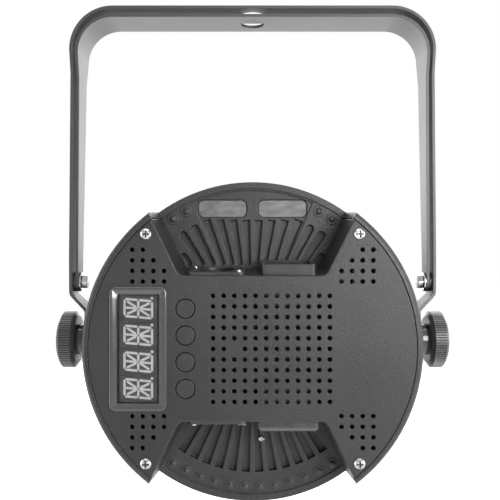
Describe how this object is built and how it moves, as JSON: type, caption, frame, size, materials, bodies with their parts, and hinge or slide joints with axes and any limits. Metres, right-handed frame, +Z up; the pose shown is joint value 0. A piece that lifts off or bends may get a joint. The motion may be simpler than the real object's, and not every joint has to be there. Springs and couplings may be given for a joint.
{
  "type": "par can light",
  "caption": "Slim round LED par stage light on a tilting double yoke, with rear display, buttons, signal and power sockets in two recesses.",
  "frame": {"origin": "centre of the hanging hole at the top face of the main yoke's web", "axes": "+Z up out of the web, -Z down the legs to the head, +Y along the beam, -Y out of the rear cover, +X to the right seen from behind the light"},
  "size_m": [0.2138, 0.0649, 0.2742],
  "materials": {
    "yoke_paint": "black powder coat with a fine satin texture",
    "housing_plastic": "dark moulded plastic, fine spark texture",
    "cover_plastic": "dark moulded plastic, fine spark texture",
    "mask_plastic": "matte black",
    "button_plastic": "dark moulded plastic",
    "knob_plastic": "black glass-filled plastic",
    "black_nylon": "black nylon",
    "connector_black": "black moulded plastic",
    "latch_plastic": "grey moulded plastic",
    "bezel_gloss": "polished black",
    "display_face": "dark grey face with pale segments",
    "clear_pane": "clear, thin",
    "label_blank": "blank grey label stock",
    "lamp_epoxy": "water-clear epoxy domes",
    "circuit_board": "green solder mask",
    "transformer_core": "varnished core",
    "capacitor_sleeve": "dark sleeve",
    "zinc_steel": "bright zinc plate",
    "cap_metal": "bright pressed cap in the middle of each knob",
    "black_steel": "black oxide",
    "pin_metal": "plated contacts",
    "insert_brass": "plain brass",
    "washer_rubber": "black rubber"
  },
  "bodies": {
    "main_yoke": {"main_yoke": "yoke_paint", "pivot_studs": "zinc_steel", "pivot_spacers": "black_nylon", "pivot_washers": "zinc_steel", "pivot_nuts": "zinc_steel", "left_rubber_washer": "washer_rubber", "right_rubber_washer": "washer_rubber"},
    "stand_yoke": {"stand_yoke": "yoke_paint"},
    "head": {"housing": "housing_plastic", "rear_cover": "cover_plastic", "cover_screws": "zinc_steel", "front_bezel": "housing_plastic", "bezel_screws": "black_steel", "led_mask": "mask_plastic", "leds": "lamp_epoxy", "led_board": "circuit_board", "led_standoffs": "black_nylon", "power_board": "circuit_board", "board_standoffs": "black_nylon", "transformer": "transformer_core", "capacitors": "capacitor_sleeve", "fuse_holder": "black_nylon", "control_board": "circuit_board", "control_screws": "zinc_steel", "display_digits": "display_face", "display_bezel": "bezel_gloss", "display_window": "clear_pane", "tact_switches": "black_nylon", "dmx_input": "connector_black", "dmx_input_pins": "pin_metal", "dmx_output": "connector_black", "flange_screws": "black_steel", "power_inlet": "connector_black", "power_inlet_blades": "pin_metal", "power_outlet": "connector_black", "earth_screw": "zinc_steel", "label_plates": "label_blank", "knob_inserts": "insert_brass"},
    "left_knob": {"left_knob": "knob_plastic", "left_knob_cap": "cap_metal", "left_knob_stud": "zinc_steel"},
    "right_knob": {"right_knob": "knob_plastic", "right_knob_cap": "cap_metal", "right_knob_stud": "zinc_steel"},
    "button_1": {"button_1": "button_plastic"},
    "button_2": {"button_2": "button_plastic"},
    "button_3": {"button_3": "button_plastic"},
    "button_4": {"button_4": "button_plastic"},
    "dmx_latch": {"dmx_latch": "latch_plastic"}
  },
  "joints": [
    {"name": "stand_swing", "type": "hinge", "parent": "main_yoke", "child": "stand_yoke", "pos_m": [0, 0, -0.1502], "axis": [1, 0, 0], "range_deg": [-90, 90]},
    {"name": "tilt", "type": "hinge", "parent": "main_yoke", "child": "head", "pos_m": [0, 0, -0.1824], "axis": [1, 0, 0], "range_deg": [-100, 100]},
    {"name": "left_knob_turn", "type": "hinge", "parent": "head", "child": "left_knob", "pos_m": [-0.1, 0, -0.1824], "axis": [1, 0, 0], "continuous": true},
    {"name": "right_knob_turn", "type": "hinge", "parent": "head", "child": "right_knob", "pos_m": [0.1, 0, -0.1824], "axis": [1, 0, 0], "continuous": true},
    {"name": "button_1_press", "type": "slide", "parent": "head", "child": "button_1", "axis": [0, 1, 0], "range_m": [0, 0.0008], "stiffness_N_per_m": 600, "springref_m": -0.0004},
    {"name": "button_2_press", "type": "slide", "parent": "head", "child": "button_2", "axis": [0, 1, 0], "range_m": [0, 0.0008], "stiffness_N_per_m": 600, "springref_m": -0.0004},
    {"name": "button_3_press", "type": "slide", "parent": "head", "child": "button_3", "axis": [0, 1, 0], "range_m": [0, 0.0008], "stiffness_N_per_m": 600, "springref_m": -0.0004},
    {"name": "button_4_press", "type": "slide", "parent": "head", "child": "button_4", "axis": [0, 1, 0], "range_m": [0, 0.0008], "stiffness_N_per_m": 600, "springref_m": -0.0004},
    {"name": "latch_press", "type": "slide", "parent": "head", "child": "dmx_latch", "axis": [0, 0.0889, 0.996], "range_m": [0, 0.0012], "stiffness_N_per_m": 600, "springref_m": -0.0004}
  ]
}
